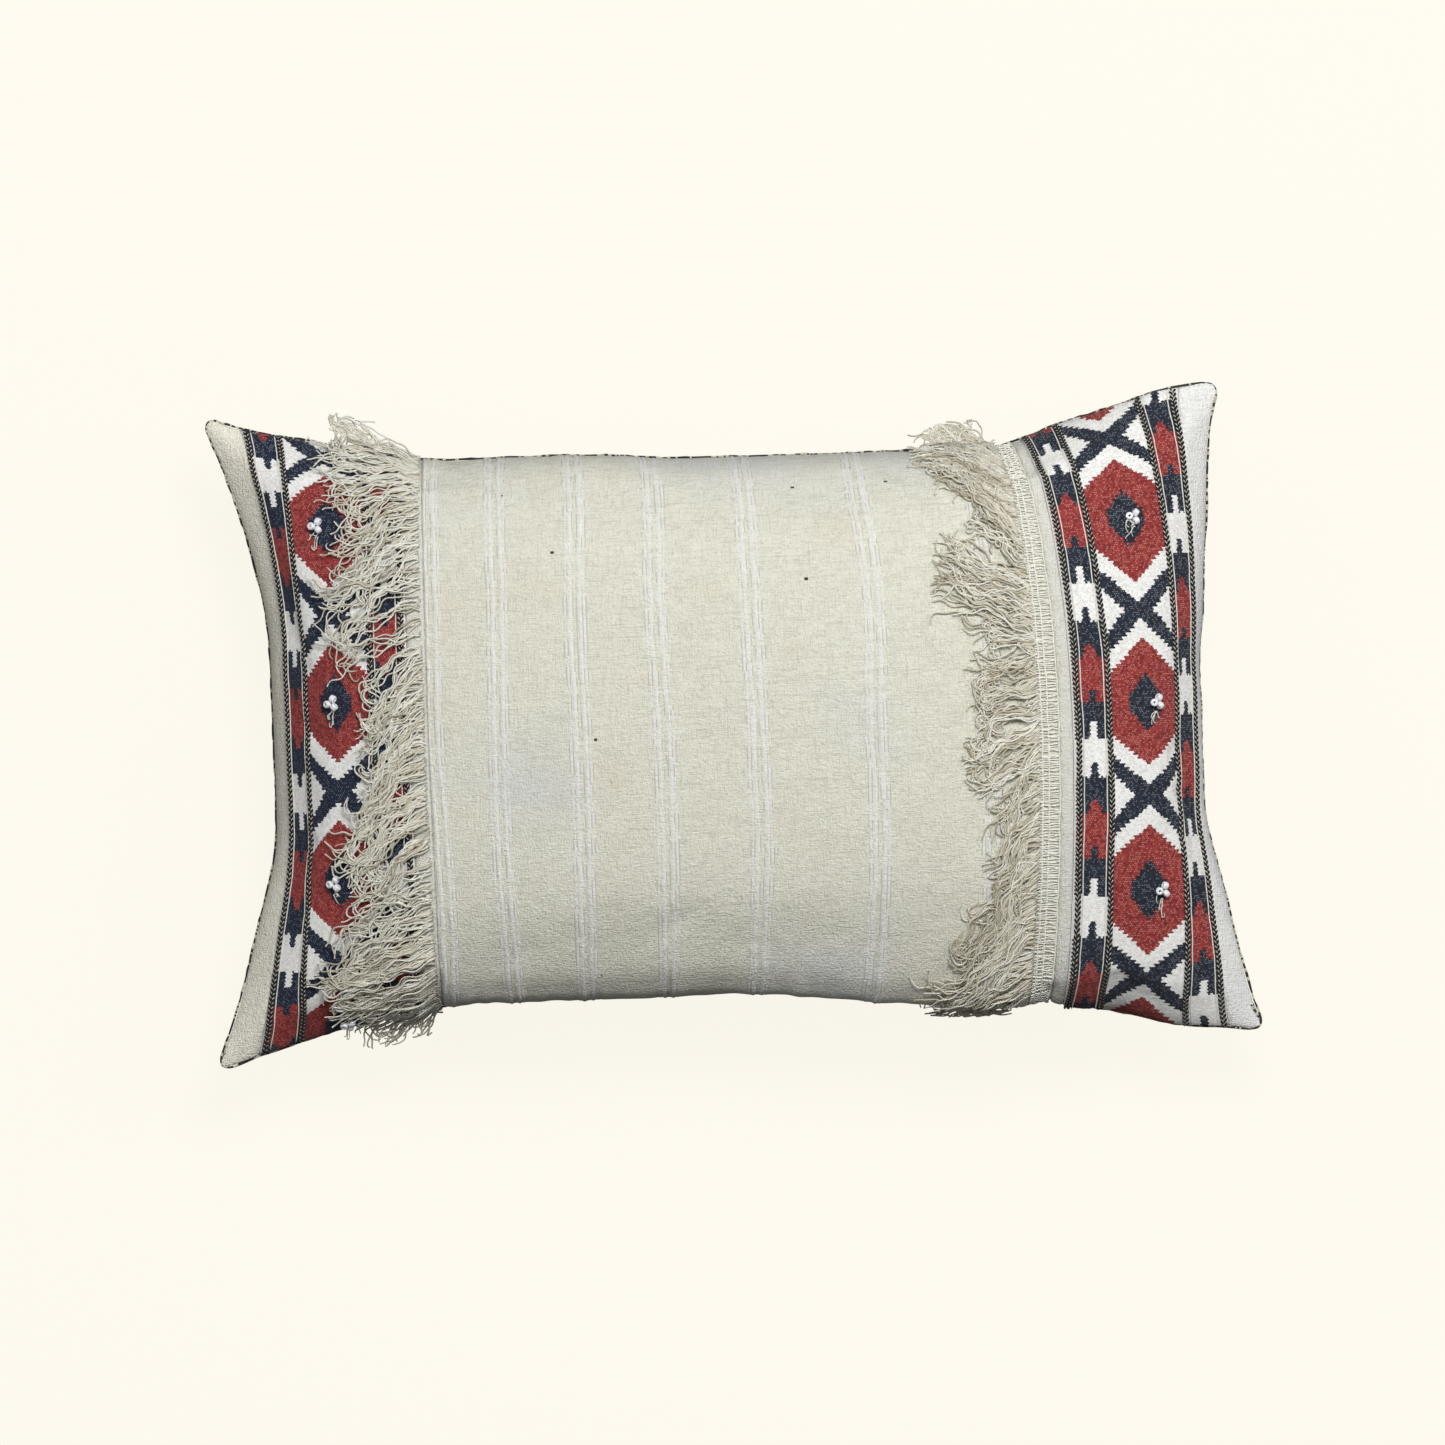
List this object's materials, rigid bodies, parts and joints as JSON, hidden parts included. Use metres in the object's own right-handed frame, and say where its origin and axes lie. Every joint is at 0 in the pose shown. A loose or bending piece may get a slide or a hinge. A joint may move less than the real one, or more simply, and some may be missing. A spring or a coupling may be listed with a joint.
{
  "type": "lumbar throw pillow",
  "caption": "Lumbar throw pillow with woven diamond bands, bead clusters, fringed cream centre panel and a zip over a padded insert.",
  "frame": {"origin": "centre of the outline, on the flat of the back panel that the pillow lies on", "axes": "+X along the length towards the right band, +Y towards the seam without the zip, +Z out of the patterned front"},
  "size_m": [0.5588, 0.3556, 0.1391],
  "materials": {
    "margin_cloth": "matte",
    "kilim_band": "matte",
    "centre_cloth": "matte",
    "twined_cord": "matte",
    "fringe_cotton": "matte",
    "back_cloth": "matte",
    "casing_cloth": "matte",
    "fibre": "matte",
    "bead_glass": "gloss",
    "zip_tape": "matte",
    "zip_nylon": "satin",
    "zip_metal": "satin"
  },
  "bodies": {
    "pillow": {"front_left_margin": "margin_cloth", "front_left_joining_strip": "margin_cloth", "front_right_joining_strip": "margin_cloth", "front_right_margin": "margin_cloth", "front_left_band": "kilim_band", "front_right_band": "kilim_band", "front_centre_panel": "centre_cloth", "left_band_cord_1": "twined_cord", "left_band_cord_2": "twined_cord", "left_band_cord_3": "twined_cord", "left_band_cord_4": "twined_cord", "right_band_cord_1": "twined_cord", "right_band_cord_2": "twined_cord", "right_band_cord_3": "twined_cord", "right_band_cord_4": "twined_cord", "left_fringe": "fringe_cotton", "right_fringe": "fringe_cotton", "right_fringe_header": "fringe_cotton", "back_panel": "back_cloth", "insert_casing_front": "casing_cloth", "insert_casing_back": "casing_cloth", "fibre_fill": "fibre", "left_bead_1_1": "bead_glass", "left_bead_1_2": "bead_glass", "left_bead_1_3": "bead_glass", "left_bead_2_1": "bead_glass", "left_bead_2_2": "bead_glass", "left_bead_2_3": "bead_glass", "left_bead_3_1": "bead_glass", "left_bead_3_2": "bead_glass", "left_bead_3_3": "bead_glass", "left_bead_4_1": "bead_glass", "left_bead_4_2": "bead_glass", "left_bead_4_3": "bead_glass", "right_bead_1_1": "bead_glass", "right_bead_1_2": "bead_glass", "right_bead_1_3": "bead_glass", "right_bead_2_1": "bead_glass", "right_bead_2_2": "bead_glass", "right_bead_2_3": "bead_glass", "right_bead_3_1": "bead_glass", "right_bead_3_2": "bead_glass", "right_bead_3_3": "bead_glass", "zip_tape_front": "zip_tape", "zip_tape_back": "zip_tape", "zip_coil_front": "zip_nylon", "zip_coil_back": "zip_nylon", "zip_top_stop_front": "zip_metal", "zip_top_stop_back": "zip_metal", "zip_bottom_stop": "zip_metal"},
    "slider": {"zip_slider": "zip_metal"},
    "pull_tab": {"zip_pull_tab": "zip_metal"}
  },
  "joints": [
    {"name": "zip_travel", "type": "slide", "parent": "pillow", "child": "slider", "axis": [-1, 0, 0], "range_m": [0, 0.26]},
    {"name": "pull_tab_swing", "type": "hinge", "parent": "slider", "child": "pull_tab", "pos_m": [0.1303, -0.14755, 0.066], "axis": [0, 0, 1], "range_deg": [0, 175]}
  ]
}
